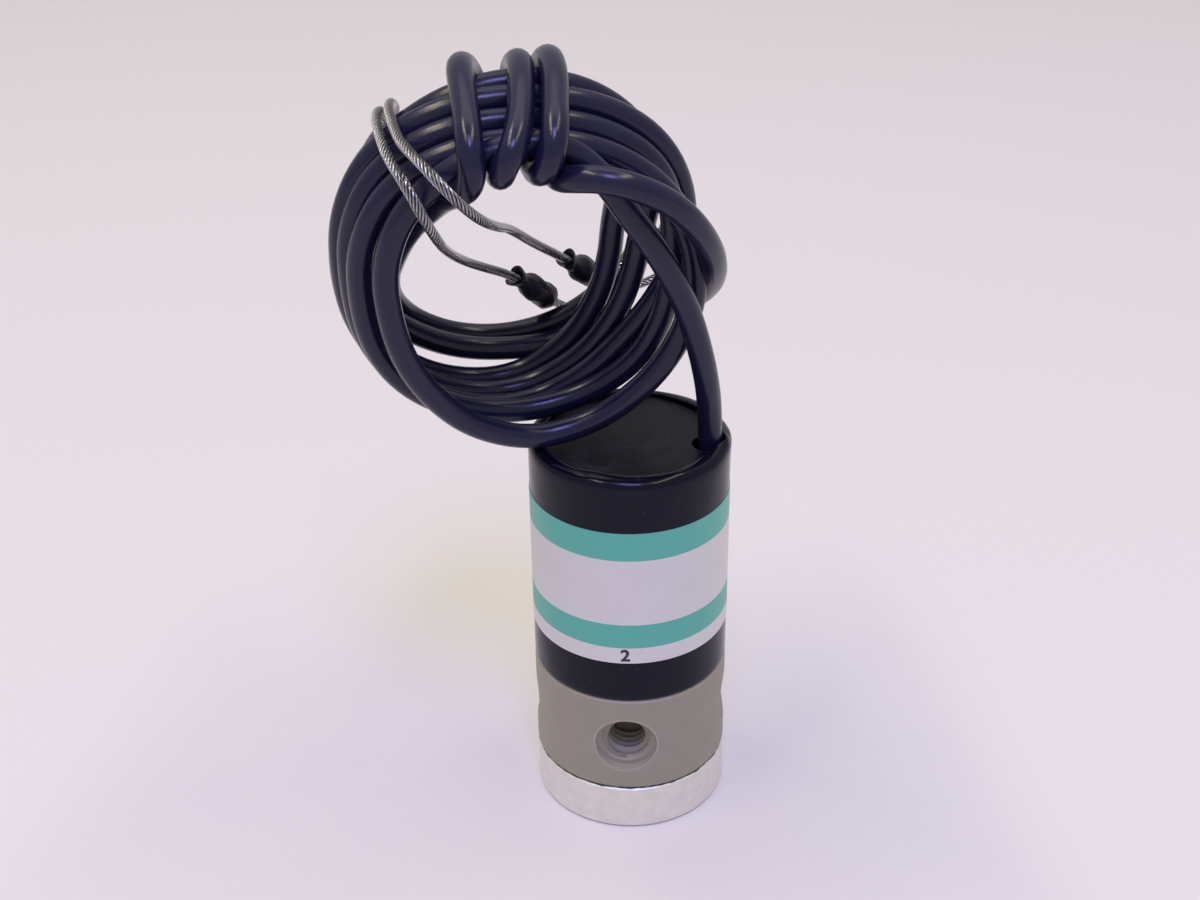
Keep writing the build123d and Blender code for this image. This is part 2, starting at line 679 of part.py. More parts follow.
# ---------------------------------------------------------------- the sub-parts
PARTS = {
    "base_plate": base_plate(),
    "body_screws": body_screws(),
    "valve_body": valve_body(),
    "lower_diaphragm": lower_diaphragm(),
    "upper_diaphragm": upper_diaphragm(),
    "valve_stem": valve_stem(),
    "spring_pad": spring_pad(),
    "balance_spring": balance_spring(),
    "pole_plate": pole_plate(),
    "guide_tube": guide_tube(),
    "plunger": plunger(),
    "plunger_spring": plunger_spring(),
    "fixed_core": fixed_core(),
    "core_nut": core_nut(),
    "top_plate": top_plate(),
    "bobbin": bobbin(),
    "winding": winding(),
    "winding_tape": winding_tape(),
    "coil_case": coil_case(),
    "end_cap": end_cap(),
    "cap_potting": cap_potting(),
    "shrink_sleeve": shrink_sleeve(),
    "label": label(),
    "lead_riser": tube("lead_riser", RISER_POINTS, LEAD_D),
    "lead_coil": lead_coil(),
    "lead_loop": tube("lead_loop", LOOP_POINTS, LEAD_D),
    "lead_tail": tube("lead_tail", TAIL_POINTS, LEAD_D),
    "core_lead_a": tube("core_lead_a", CORE_A_POINTS, CORE_D),
    "core_lead_b": tube("core_lead_b", CORE_B_POINTS, CORE_D),
    "boot_a": boot(BOOT_A_REAR, BOOT_A_MOUTH),
    "boot_b": boot(BOOT_B_REAR, BOOT_B_MOUTH),
    "lead_tip_a": tip(CORE_A_POINTS),
    "lead_tip_b": tip(CORE_B_POINTS),
}

os.makedirs("parts", exist_ok=True)
for name, shape in PARTS.items():
    export_step(shape, os.path.join("parts", name + ".step"))
print(len(PARTS), "sub-parts written")
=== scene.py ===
# %% [markdown]
# # A three-way solenoid valve with its lead in a tied coil
#
# The packed model gives the rigid parts in their real places, in metres. This script
# adds what CAD leaves plain: the wound lead and its stranded cores, the threads in the
# ports, the wavy rolled edge of the sleeve, the crinkled boots, the numbers on the label
# and a material for every surface.
#
# It goes in this order: frame, camera, lead, cores, small pieces, materials, room.

# %% Load the frame
import bpy
import bmesh
import json
import math
from mathutils import Matrix, Vector


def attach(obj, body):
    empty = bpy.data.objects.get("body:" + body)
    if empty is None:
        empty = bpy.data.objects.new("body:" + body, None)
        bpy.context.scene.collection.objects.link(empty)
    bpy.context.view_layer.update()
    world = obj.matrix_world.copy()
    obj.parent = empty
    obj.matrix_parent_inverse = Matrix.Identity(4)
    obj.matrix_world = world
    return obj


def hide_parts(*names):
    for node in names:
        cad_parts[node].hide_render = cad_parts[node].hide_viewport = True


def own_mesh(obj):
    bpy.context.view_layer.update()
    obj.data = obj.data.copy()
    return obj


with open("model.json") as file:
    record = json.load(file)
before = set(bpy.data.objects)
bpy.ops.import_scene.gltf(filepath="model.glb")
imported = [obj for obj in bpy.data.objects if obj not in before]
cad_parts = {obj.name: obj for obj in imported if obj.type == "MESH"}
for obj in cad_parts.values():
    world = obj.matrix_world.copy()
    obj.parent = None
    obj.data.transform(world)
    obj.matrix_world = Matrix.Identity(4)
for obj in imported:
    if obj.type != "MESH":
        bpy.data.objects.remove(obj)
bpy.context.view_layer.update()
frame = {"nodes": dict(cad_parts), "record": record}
MM = 0.001

# %% [markdown]
# The camera stands a little above the valve and looks down on it. Its place, its
# forward direction and its roll are given in millimetres and degrees.

# %% Camera
CAMERA_PLACE = Vector((9.118, -191.616, 160.886)) * MM
CAMERA_FORWARD = Vector((-0.05834, 0.86772, -0.49361)).normalized()
CAMERA_ROLL = math.radians(-0.8114)
CAMERA_LENS = 51.46
CAMERA_SENSOR = 36


def add_camera():
    side = CAMERA_FORWARD.cross(Vector((0, 0, 1))).normalized()
    top = side.cross(CAMERA_FORWARD)
    right = side * math.cos(CAMERA_ROLL) + top * math.sin(CAMERA_ROLL)
    up = top * math.cos(CAMERA_ROLL) - side * math.sin(CAMERA_ROLL)
    data = bpy.data.cameras.new("camera")
    data.lens = CAMERA_LENS
    data.sensor_width = CAMERA_SENSOR
    camera = bpy.data.objects.new("camera", data)
    turn = Matrix((right, up, -CAMERA_FORWARD)).transposed()
    camera.matrix_world = Matrix.Translation(CAMERA_PLACE) @ turn.to_4x4()
    bpy.context.scene.collection.objects.link(camera)
    bpy.context.scene.camera = camera
    return camera


camera = add_camera()
print("camera lens:", camera.data.lens)

# %% [markdown]
# The coil has its own terms: an angle anticlockwise from its right-hand side, a radius
# and a depth away from the viewer. The centre, turn and lean are those of the CAD model.

# %% Places in the coil
COIL_CENTRE = Vector((-10.4, -9.7, 77.0))
COIL_TURN = math.radians(15.7)
COIL_LEAN = math.radians(15.0)
COIL_RIGHT = Vector((math.cos(COIL_TURN), math.sin(COIL_TURN), 0))
COIL_NEAR = Vector((
    math.sin(COIL_TURN) * math.cos(COIL_LEAN),
    -math.cos(COIL_TURN) * math.cos(COIL_LEAN),
    -math.sin(COIL_LEAN),
))
COIL_UP = COIL_NEAR.cross(COIL_RIGHT)


def coil_point(angle, radius, depth):
    turned = math.radians(angle)
    flat = COIL_RIGHT * math.cos(turned) + COIL_UP * math.sin(turned)
    return (COIL_CENTRE + flat * radius - COIL_NEAR * depth) * MM


print("coil looks along", [round(part, 3) for part in COIL_NEAR])

# %% [markdown]
# A lead is drawn the way a cable lies: one smooth NURBS curve through a row of control
# points, given its thickness by the curve's own round bevel. The bevel is one metre deep
# and each point's radius brings it down to size, so that the curve's box stays close to
# it. Order 3 is set after the points are there, because before that the curve would
# stay at straight runs.

# %% A curve through control points
def route(name, points, diameter):
    data = bpy.data.curves.new(name, "CURVE")
    data.dimensions = "3D"
    data.bevel_depth = 1
    data.bevel_resolution = 6
    data.resolution_u = 6
    data.use_fill_caps = True
    spline = data.splines.new("NURBS")
    spline.points.add(len(points) - 1)
    for point, place in zip(spline.points, points):
        point.co = (*place, 1)
        point.radius = diameter / 2
    spline.order_u = 3
    spline.use_endpoint_u = True
    curve = bpy.data.objects.new(name, data)
    bpy.context.scene.collection.objects.link(curve)
    return curve


def line_of(curve, steps=6):
    """The points of a curve's own centre line, as a mesh of it without its bevel has them."""
    fineness = curve.data.resolution_u
    curve.data.bevel_depth = 0
    curve.data.resolution_u = steps
    mesh = bpy.data.meshes.new_from_object(curve)
    curve.data.bevel_depth = 1
    curve.data.resolution_u = fineness
    return [vertex.co.copy() for vertex in mesh.vertices]


def length_of(line):
    return sum((end - start).length for start, end in zip(line, line[1:]))


# %% [markdown]
# The lead stands up out of the cap, joins the ring and goes round five and a half
# times. The rows below are the turns' radii at each eighth of a turn, from the top,
# anticlockwise: the turns are tied at the top and fan out elsewhere. After them it
# loops forward over the ring, wraps round it three times and runs on to its end.

# %% The lead's places
LEAD_D = 3.1 * MM
LEAD_EXIT = Vector((10.32, -1.5, 51.5)) * MM
TURNS = (
    (21.9, 20.8, 16.9, 17.4, 21.0, 20.2, 19.6, 19.9),
    (20.6, 22.4, 19.8, 20.8, 21.1, 20.4, 17.4, 20.6),
    (21.3, 23.4, 20.5, 22.0, 22.9, 18.5, 19.5, 22.0),
    (22.4, 23.8, 21.3, 22.7, 23.0, 17.4, 14.9, 20.6),
    (22.8, 21.9, 21.3, 23.2, 23.2, 15.3, 12.1, 16.4),
    (19.6, 20.6, 20.8, 20.6, 20.8),
)
PITCH = 2.95
TURN_STEPS = 16
TURNS_START = 0.8
TURNS_TOP = 90
CURVE_SHRINK = 1.013
FIRST_TURN_FORWARD = 2.4
LEAD_STAND = 6.5 * MM

RISER = (
    (-28.0, 23.4, -3.7), (-7.3, 18.4, -3.7), (13.0, 16.2, -3.7), (36.0, 15.9, -3.6),
    (55.0, 17.0, -3.0), (68.0, 19.2, -1.6), (79.0, 21.0, 0.2),
)
LOOP = (
    (294.0, 21.0, 14.8), (313.0, 22.2, 13.6), (332.0, 23.0, 9.8), (350.0, 22.9, 4.4),
    (10.0, 21.6, -1.0), (31.0, 21.4, -4.4), (51.0, 22.0, -6.0), (65.0, 22.0, -6.2),
    (74.0, 21.4, -5.2), (81.0, 20.0, -3.6),
)
# each wrap: under the ring going back, up its back, over its top and down its front
WRAPS = (
    (84.0, 18.3, -1.2), (83.5, 17.1, 2.8), (82.0, 17.2, 8.0), (81.0, 17.4, 13.0),
    (80.4, 18.2, 17.0), (80.4, 21.0, 17.7), (80.8, 23.4, 15.6), (81.6, 25.0, 12.4),
    (83.0, 25.6, 7.5), (85.0, 25.3, 2.8), (86.6, 25.1, -1.2), (87.8, 23.4, -3.2),
    (89.0, 21.6, -3.2), (90.2, 19.9, -2.2), (90.8, 18.4, 0.2), (90.6, 17.7, 4.0),
    (90.4, 17.4, 8.6), (90.2, 17.6, 13.0), (90.0, 18.4, 16.6), (89.6, 20.8, 17.4),
    (89.4, 23.0, 15.4), (89.8, 24.6, 12.2), (91.4, 25.1, 7.5), (93.4, 24.9, 3.0),
    (95.8, 24.7, -1.0), (98.6, 23.8, -3.2), (101.0, 22.5, -3.3), (102.8, 20.9, -2.8),
    (103.4, 19.3, -0.5), (103.2, 18.1, 3.4),
    (102.8, 17.5, 8.0), (102.4, 17.6, 13.0), (102.6, 18.4, 17.0), (103.4, 21.0, 18.1),
    (104.4, 23.6, 15.8), (105.4, 25.6, 12.4), (106.0, 26.0, 7.5), (106.8, 25.8, 2.8),
    (108.0, 25.4, -1.4), (109.8, 22.8, -3.2), (113.4, 20.5, -2.6), (119.0, 19.0, -0.2),
)
TAIL = (
    (127.0, 17.2, 3.0), (138.0, 15.6, 5.6), (150.0, 14.8, 7.8), (166.0, 14.7, 9.8),
    (184.0, 15.2, 12.4), (201.0, 17.0, 15.2), (217.0, 19.2, 17.4), (234.0, 20.9, 19.2),
    (252.0, 21.5, 19.5), (271.0, 21.3, 19.3), (290.0, 20.7, 19.1), (307.0, 20.2, 19.2),
    (320.0, 19.7, 19.4),
)
print("places off the turns:", len(RISER + LOOP + WRAPS + TAIL))

# %% [markdown]
# The turns come from a loop, sixteen control points to a turn, each turn one pitch
# deeper than the last. Midway between two stated radii a four-point average keeps the
# line fair. The first turn bows forward over the sleeve's edge.

# %% The lead
def turn_depth(step):
    depth = max(TURNS_START, PITCH * step / TURN_STEPS)
    if step < TURN_STEPS:
        depth -= FIRST_TURN_FORWARD * math.sin(math.pi * step / TURN_STEPS) ** 2
    return depth


def turn_points():
    radii = [radius for row in TURNS for radius in row]
    padded = [radii[0], *radii, radii[-1]]
    points = []
    for step in range(2 * len(radii) - 1):
        index = step // 2
        radius = radii[index]
        if step % 2:
            before, start, end, after = padded[index:index + 4]
            radius = (9 * (start + end) - before - after) / 16
        angle = TURNS_TOP + 360 / TURN_STEPS * step
        points.append(coil_point(angle, radius * CURVE_SHRINK, turn_depth(step)))
    return points


lead_points = [LEAD_EXIT, LEAD_EXIT + Vector((0, 0, LEAD_STAND))]
lead_points += [coil_point(*place) for place in RISER]
lead_points += turn_points()
lead_points += [coil_point(*place) for place in LOOP + WRAPS + TAIL]
lead = route("lead", lead_points, LEAD_D)
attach(lead, "valve")
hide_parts("lead_riser", "lead_coil", "lead_loop", "lead_tail")
print("lead length:", round(length_of(line_of(lead)), 3), "control points:", len(lead_points))

# %% [markdown]
# A mesh that follows a path is a stack of rings: each ring of points is joined to the
# next. `skin` makes the faces once for every such piece here. Turning the faces outward
# and marking edges over 40 degrees as sharp gives clean shading on all of them.

# %% Skin over rings of points
def skin(name, rings, around=False):
    """A closed mesh over rings of points; with `around` the last ring meets the first."""
    count = len(rings[0])
    faces = []
    for row in range(len(rings) if around else len(rings) - 1):
        here = row * count
        there = (row + 1) % len(rings) * count
        for column in range(count):
            beside = (column + 1) % count
            faces.append((here + column, here + beside, there + beside, there + column))
    if not around:
        faces.append(tuple(range(count)))
        faces.append(tuple(range((len(rings) - 1) * count, len(rings) * count)))
    mesh = bpy.data.meshes.new(name)
    mesh.from_pydata([tuple(corner) for ring in rings for corner in ring], [], faces)
    shape = bmesh.new()
    shape.from_mesh(mesh)
    bmesh.ops.recalc_face_normals(shape, faces=shape.faces)
    shape.to_mesh(mesh)
    shape.free()
    mesh.shade_smooth()
    mesh.set_sharp_from_angle(angle=math.radians(40))
    piece = bpy.data.objects.new(name, mesh)
    bpy.context.scene.collection.objects.link(piece)
    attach(piece, "valve")
    return piece


def cross_directions(line):
    """Two directions across a line at each of its points, carried along without a twist."""
    side = (line[1] - line[0]).orthogonal()
    for index, point in enumerate(line):
        ahead = line[min(index + 1, len(line) - 1)] - line[max(index - 1, 0)]
        ahead.normalize()
        side = (side - ahead * side.dot(ahead)).normalized()
        yield point, side, ahead.cross(side)


# %% [markdown]
# Two clear-sheathed cores leave the lead's end. Each hooks forward into its boot, comes
# out of the boot's mouth, goes over the top of the coil and ends behind it.

# %% The cores' places
CORE_D = 1.2 * MM
BOOT_A = ((293.0, 24.2, 24.0), (275.7, 11.0, 18.8))
BOOT_B = ((308.0, 25.4, 25.6), (308.6, 12.7, 20.0))
CORE_A = (
    (320.8, 19.1, 19.7), (331.0, 19.2, 20.8), (340.0, 20.6, 23.2), (343.0, 23.2, 26.2),
    (337.0, 26.0, 28.4), (325.0, 27.6, 29.2), (311.0, 27.8, 28.6), (299.0, 26.8, 26.6),
    *BOOT_A,
    (218.1, 6.0, 12.5), (174.3, 7.5, 8.4), (147.8, 11.6, 3.2), (134.4, 16.4, -2.0),
    (128.6, 21.2, -4.0), (126.6, 25.2, -2.2), (128.4, 26.2, 2.6), (129.6, 25.8, 7.6),
    (130.4, 25.3, 12.2), (131.4, 23.2, 16.4), (135.0, 20.2, 18.4), (144.0, 18.9, 19.2),
    (158.0, 18.6, 19.4), (175.0, 18.8, 19.8), (193.0, 19.4, 20.6), (212.0, 20.4, 21.6),
    (231.0, 21.8, 22.4),
)
CORE_B = (
    (320.8, 20.5, 19.4), (331.0, 21.6, 19.6), (337.0, 24.2, 20.8), (334.0, 27.2, 22.4),
    (325.0, 28.8, 24.0), (314.0, 28.2, 25.6),
    *BOOT_B,
    (321.0, 2.8, 13.6), (109.1, 5.4, 8.0), (113.2, 13.0, -0.4), (115.0, 19.0, -5.2),
    (117.6, 24.0, -5.6), (120.6, 26.0, -1.8), (124.2, 26.0, 3.2), (125.6, 25.6, 8.0),
    (126.4, 25.2, 12.2), (127.4, 23.2, 16.2), (130.6, 20.4, 18.9), (139.0, 19.1, 21.0),
    (152.0, 18.8, 22.0), (170.0, 19.0, 22.4), (188.0, 19.8, 23.2),
)
print("core places:", len(CORE_A), len(CORE_B))

# %% [markdown]
# Under each clear sheath the wire is six tinned strands laid round a seventh. One ring of
# points has a groove, two flanks and a crest for each strand, and turning every ring a
# little more than the last lays the strands in a helix. Past the sheath the same
# strands run on bare for six millimetres. A number kept at each point says how deep in
# a groove it lies; the finish uses it to paint shade, near black, into the grooves.

# %% Strands
STRANDS = 6
STRAND_LAY = 4.2 * MM
STRAND_SHAPE = (0.25, 0.4, 0.45, 0.4)
# how deep in a groove each point lies, for the painted shade in the grooves
STRAND_GROOVE_SHADE = (1.0, 0.4, 0.0, 0.4)
TIP_L = 6.0 * MM
STRAND_STEP = 0.25 * MM


def add_strands(name, line):
    ahead = (line[-1] - line[-2]).normalized()
    count = round(TIP_L / STRAND_STEP)
    line = line + [line[-1] + ahead * STRAND_STEP * step for step in range(1, count + 1)]
    rings = []
    travelled = 0
    last = line[0]
    for point, side, across in cross_directions(line):
        travelled += (point - last).length
        last = point
        ring = []
        for spoke in range(STRANDS * len(STRAND_SHAPE)):
            radius = STRAND_SHAPE[spoke % len(STRAND_SHAPE)] * MM
            turned = math.tau * (spoke / STRANDS / len(STRAND_SHAPE) + travelled / STRAND_LAY)
            ring.append(point + (side * math.cos(turned) + across * math.sin(turned)) * radius)
        rings.append(ring)
    strands = skin(name, rings)
    groove = strands.data.attributes.new("groove", "FLOAT", "POINT")
    for index in range(len(strands.data.vertices)):
        groove.data[index].value = STRAND_GROOVE_SHADE[index % len(STRAND_GROOVE_SHADE)]
    return strands


def add_core(letter, places):
    core = route("core_" + letter, [coil_point(*place) for place in places], CORE_D)
    strands = add_strands("strands_" + letter, line_of(core, 24))
    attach(core, "valve")
    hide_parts("core_lead_" + letter)
    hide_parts("lead_tip_" + letter)
    return core, strands


cores = {letter: add_core(letter, places) for letter, places in (("a", CORE_A), ("b", CORE_B))}
for core, strands in cores.values():
    print(core.name, "length:", round(length_of(line_of(core)), 4), "strand corners:",
          len(strands.data.vertices))

# %% [markdown]
# Each boot is heat-shrunk film over a joint: it swells where the joint is, draws in at
# the neck and opens at its mouth in three soft folds. The outline is turned round the
# boot's axis, and a few sine waves make it as uneven as hand-shrunk film is.

# %% Boots
BOOT_OUTLINE = (
    (0.0, 0.68), (0.0, 1.06), (0.5, 1.36), (1.2, 1.66), (2.2, 1.76), (3.2, 1.68),
    (4.2, 1.74), (5.2, 1.76), (6.0, 1.64), (6.7, 1.38), (7.3, 1.12), (7.9, 1.0),
    (8.4, 1.04), (8.9, 1.2), (9.3, 1.34), (9.55, 1.38), (9.6, 1.24), (9.5, 1.0),
    (9.3, 0.8), (8.9, 0.66),
)
BOOT_SPOKES = 36
BOOT_MOUTH = 9.6 * MM
BOOT_BORE = 0.9
BOOT_SWELL = 0.05
BOOT_CREASE = 0.035
BOOT_FOLD = 0.16
BOOT_FOLDS_FROM = 8


def add_boot(letter, rear, mouth, phase):
    axis = (mouth - rear).normalized()
    start = mouth - axis * BOOT_MOUTH
    side = axis.orthogonal().normalized()
    across = axis.cross(side)
    rings = []
    for spoke in range(BOOT_SPOKES):
        turned = math.tau * spoke / BOOT_SPOKES
        ring = []
        for along, radius in BOOT_OUTLINE:
            if radius > BOOT_BORE:
                swell = BOOT_SWELL * math.sin(2 * turned + 0.9 * along + phase)
                crease = BOOT_CREASE * math.sin(5 * turned - 1.7 * along + 2 * phase)
                opened = max(0, min(1, along - BOOT_FOLDS_FROM))
                fold = BOOT_FOLD * math.cos(3 * turned + phase) * opened
                radius *= 1 + swell + crease + fold
            out = side * math.cos(turned) + across * math.sin(turned)
            ring.append(start + axis * along * MM + out * radius * MM)
        rings.append(ring)
    boot = skin("boot_film_" + letter, rings, around=True)
    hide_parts("boot_" + letter)
    return boot


boots = {}
for letter, places, phase in (("a", BOOT_A, 0.6), ("b", BOOT_B, 2.3)):
    rear, mouth = [coil_point(*place) for place in places]
    boots[letter] = add_boot(letter, rear, mouth, phase)
    core, strands = cores[letter]
    line = line_of(core)
    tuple(line[0])
    round(length_of(line), 3)
print("boots:", [boot.name for boot in boots.values()])

# %% [markdown]
# The sleeve is black film shrunk over the case and the cap. Its wall is plain, but its
# top edge rolls over the cap's rim in slow waves and is pushed out where the lead stands.
# The section below is (radius, height, how much of the waves it takes), from the foot up
# the outside, over the lip and back inside. It is swept round in fine steps. The waves
# are sums of sines with whole counts, so that they meet themselves after one turn.

# %% Waves round a ring
def waves(turned, terms):
    """A sum of sine waves: each term is a height, a count round the ring and a shift."""
    return sum(height * math.sin(count * turned + shift) for height, count, shift in terms)


# %% Sleeve
SLEEVE_SECTION = (
    (12.5, 21.55, 0), (12.7, 21.5, 0), (12.9, 21.6, 0), (12.99, 21.85, 0), (13.0, 22.2, 0),
    (13.0, 25.0, 0), (13.0, 30.0, 0), (13.0, 36.0, 0), (13.0, 42.0, 0), (13.0, 47.6, 0),
    (13.0, 49.6, 0.1), (13.0, 51.2, 0.25), (13.0, 52.4, 0.5), (13.0, 53.3, 0.8),
    (12.91, 53.76, 0.9), (12.65, 54.15, 1), (12.26, 54.41, 1), (11.8, 54.5, 1),
    (11.4, 54.51, 1), (11.15, 54.45, 1), (11.02, 54.27, 1), (11.12, 54.09, 1),
    (11.4, 54.03, 1), (11.8, 54.02, 0.6), (12.3, 53.8, 0.3), (12.5, 53.3, 0),
)
SLEEVE_SPOKES = 288
LEAD_ANGLE = math.atan2(LEAD_EXIT.y, LEAD_EXIT.x)
LEAD_OUT = LEAD_EXIT.xy.length / MM
NOTCH_R = 1.95
NOTCH_FROM = 53.9
NOTCH_KEEPS = 0.25
LIP_R = 11.0
LIP_FROM = 54
LIP_INSIDE = 12
WALL_OUTSIDE = 12.6
LIFT = 0.14
LIFT_WAVES = ((0.09, 3, 0.6), (0.05, 7, 2.1))
INWARD_WAVES = ((0.14, 5, 1.0), (0.08, 11, 0.3))
BULGE_WAVES = ((0.05, 4, 1.9), (0.03, 9, 0))
LEAD_LIFT = 0.35
LEAD_BULGE = 0.12
LEAD_SPREAD = 0.3


def notch_reach(turned):
    """Radius that the lip keeps outside of, so that the lead has its notch."""
    aside = LEAD_OUT * math.sin(turned - LEAD_ANGLE)
    if math.cos(turned - LEAD_ANGLE) < 0 or abs(aside) > NOTCH_R:
        return 0
    return LEAD_OUT * math.cos(turned - LEAD_ANGLE) + math.sqrt(NOTCH_R ** 2 - aside ** 2)


def sleeve_ring(turned):
    from_lead = math.remainder(turned - LEAD_ANGLE, math.tau)
    near_lead = math.exp(-(from_lead / LEAD_SPREAD) ** 2)
    lift = LIFT + waves(turned, LIFT_WAVES) + LEAD_LIFT * near_lead
    inward = waves(turned, INWARD_WAVES)
    bulge = waves(turned, BULGE_WAVES) + LEAD_BULGE * near_lead
    reach = notch_reach(turned)
    ring = []
    for radius, height, share in SLEEVE_SECTION:
        if height >= LIP_FROM and radius < LIP_INSIDE:
            radius += inward * share
        elif radius >= WALL_OUTSIDE:
            radius += bulge * share
        if reach and height > NOTCH_FROM:
            radius = max(radius, reach + NOTCH_KEEPS * (radius - LIP_R))
        height += lift * share
        ring.append(Vector((radius * math.cos(turned), radius * math.sin(turned), height)) * MM)
    return ring


sleeve = skin("rolled_sleeve", [sleeve_ring(math.tau * spoke / SLEEVE_SPOKES)
                                for spoke in range(SLEEVE_SPOKES)], around=True)
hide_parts("shrink_sleeve")
print("sleeve corners:", len(sleeve.data.vertices))

# %% [markdown]
# The ports have M6 threads, one millimetre to a turn. The bore in the CAD model is at the
# thread's major radius, so each thread is a ridge wound along its wall, from just above
# the floor to the foot of the chamfer. Both ends run out into the wall.

# %% Threads in the ports
PORT_HEIGHT = 14.1
PORT_TURNS = (180, 270, 0)
THREAD_PITCH = 1.0
THREAD_ENDS = (6.35, 11.1)
THREAD_WALL = 3.03
THREAD_CREST = 2.5
THREAD_STEPS = 48
THREAD_HALF_FOOT = 0.47
THREAD_HALF_CREST = 0.09
THREAD_RUN_OUT = 14
THREAD_LEAST = 0.03


def add_thread(name, turn):
    steps = round((THREAD_ENDS[1] - THREAD_ENDS[0]) / THREAD_PITCH * THREAD_STEPS)
    rings = []
    for step in range(steps + 1):
        turned = math.tau * step / THREAD_STEPS
        middle = THREAD_ENDS[0] + THREAD_PITCH * step / THREAD_STEPS
        from_end = min(step, steps - step)
        grown = max(THREAD_LEAST, min(1, from_end / THREAD_RUN_OUT))
        crest = THREAD_WALL - (THREAD_WALL - THREAD_CREST) * grown
        ring = []
        for along, radius in ((-THREAD_HALF_FOOT, THREAD_WALL), (-THREAD_HALF_CREST, crest),
                              (THREAD_HALF_CREST, crest), (THREAD_HALF_FOOT, THREAD_WALL)):
            ring.append(Vector((middle + along, radius * math.cos(turned),
                                PORT_HEIGHT + radius * math.sin(turned))) * MM)
        rings.append(ring)
    turn_about = Matrix.Rotation(math.radians(turn), 3, "Z")
    thread = skin(name, [[turn_about @ corner for corner in ring] for ring in rings])
    return thread


threads = [add_thread(f"thread_{number}", turn) for number, turn in enumerate(PORT_TURNS, 1)]
print("threads:", len(threads))

# %% [markdown]
# A thin line of dark green sealant shows between the aluminium foot and the polymer
# body. It is a fine uneven bead in the groove that their broken edges leave.

# %% Sealant line
SEAL_R = 12.84
SEAL_HEIGHT = 6.8
SEAL_SPOKES = 360
SEAL_CORNERS = 8
SEAL_THICK = 0.1
SEAL_WOBBLE = ((0.03, 23, 0), (0.025, 41, 1))
SEAL_SWELL = ((0.03, 17, 2), (0.02, 57, 0))
seal_rings = []
for spoke in range(SEAL_SPOKES):
    turned = math.tau * spoke / SEAL_SPOKES
    wobble = waves(turned, SEAL_WOBBLE)
    thick = SEAL_THICK + waves(turned, SEAL_SWELL)
    out = Vector((math.cos(turned), math.sin(turned), 0))
    seal_rings.append([
        (out * (SEAL_R + wobble + thick * math.cos(part)) +
         Vector((0, 0, SEAL_HEIGHT + thick * math.sin(part)))) * MM
        for part in (math.tau * corner / SEAL_CORNERS for corner in range(SEAL_CORNERS))])
sealant = skin("sealant_line", seal_rings, around=True)
print("sealant corners:", len(sealant.data.vertices))

# %% [markdown]
# The label's bottom strip carries a plain number above each port. A text curve becomes
# a flat mesh, and each of its points is then laid round the label: the distance across
# the text turns into an angle.

# %% Numbers on the label
LABEL_R = 13.06
NUMBER_OFF = 0.03
NUMBER_SIZE = 2.5
NUMBER_FOOT = 28.1
NUMBER_WEIGHT = 0.07


def add_number(text, turn):
    words = bpy.data.curves.new("number_" + text, "FONT")
    words.body = text
    words.align_x = "CENTER"
    words.size = NUMBER_SIZE * MM
    words.offset = NUMBER_WEIGHT * MM
    holder = bpy.data.objects.new("number_" + text, words)
    bpy.context.scene.collection.objects.link(holder)
    mesh = bpy.data.meshes.new_from_object(holder)
    bpy.data.objects.remove(holder)
    radius = (LABEL_R + NUMBER_OFF) * MM
    for vertex in mesh.vertices:
        turned = math.radians(turn) + vertex.co.x / radius
        vertex.co = (radius * math.cos(turned), radius * math.sin(turned),
                     NUMBER_FOOT * MM + vertex.co.y)
    number = bpy.data.objects.new("port_number_" + text, mesh)
    bpy.context.scene.collection.objects.link(number)
    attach(number, "valve")
    return number


numbers = [add_number(str(count), turn) for count, turn in enumerate(PORT_TURNS, 1)]
print("numbers:", [number.name for number in numbers])

# %% [markdown]
# A material is a graph of nodes, and sums of sockets are hard to read as wires. `Wire`
# holds one socket and lets Python's own signs add the Math nodes, so that
# `0.3 + 0.1 * grain` makes two of them. The reflected forms let a plain number come
# first. Colours and vectors go through Mix and Vector Math instead.

# %% A socket that can be added and multiplied
class Wire:
    def __init__(self, finish, socket):
        self.finish = finish
        self.socket = socket

    def __add__(self, other):
        return self.finish.maths("ADD", self, other)

    def __sub__(self, other):
        return self.finish.maths("SUBTRACT", self, other)

    def __rsub__(self, other):
        return self.finish.maths("SUBTRACT", other, self)

    def __mul__(self, other):
        return self.finish.maths("MULTIPLY", self, other)

    __radd__ = __add__
    __rmul__ = __mul__


print("a wire joins sockets and numbers with + - *")

# %% [markdown]
# `Finish` is one material. `node` makes any node: its settings are set first, then its
# sockets, by name or number. The other methods are short names for what these finishes
# need most: a place in millimetres, noise of a stated number of features to the
# millimetre, a soft step, a blend of two colours and a bump of a stated depth.

